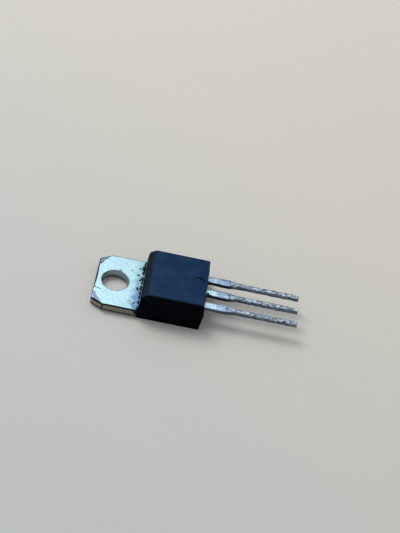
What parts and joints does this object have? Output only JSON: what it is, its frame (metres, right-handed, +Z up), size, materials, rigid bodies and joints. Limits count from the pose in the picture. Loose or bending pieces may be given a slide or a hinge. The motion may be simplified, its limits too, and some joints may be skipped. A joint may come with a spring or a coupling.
{
  "type": "thyristor",
  "caption": "Thyristor in a flat through-hole package: black moulded body on a tinned metal tab with a mounting hole, and straight leads in a row. Switches and rectifies mains current.",
  "frame": {"origin": "centre of the mounting hole, on the seating face of the tab", "axes": "+X along the leads and away from the tab, +Y across the leads from cathode to gate, +Z up from the seating face to the marked face"},
  "size_m": [0.0289, 0.0102, 0.0044],
  "materials": {
    "tinned_copper": "bright tin plate over copper, with light handling marks",
    "dipped_lead": "hot solder dip, lumpy and mottled, over tinned copper",
    "soft_solder": "dull grey",
    "silicon": "polished, opaque, with a glass-coated edge",
    "bond_wire": "smooth drawn wire",
    "epoxy": "fine matt moulded epoxy"
  },
  "bodies": {
    "root": {"heatsink_header": "tinned_copper", "cathode_lead": "dipped_lead", "gate_lead": "dipped_lead", "die_solder": "soft_solder", "thyristor_die": "silicon", "cathode_wire_inner": "bond_wire", "cathode_wire_outer": "bond_wire", "gate_wire": "bond_wire", "moulded_body": "epoxy"}
  },
  "joints": []
}
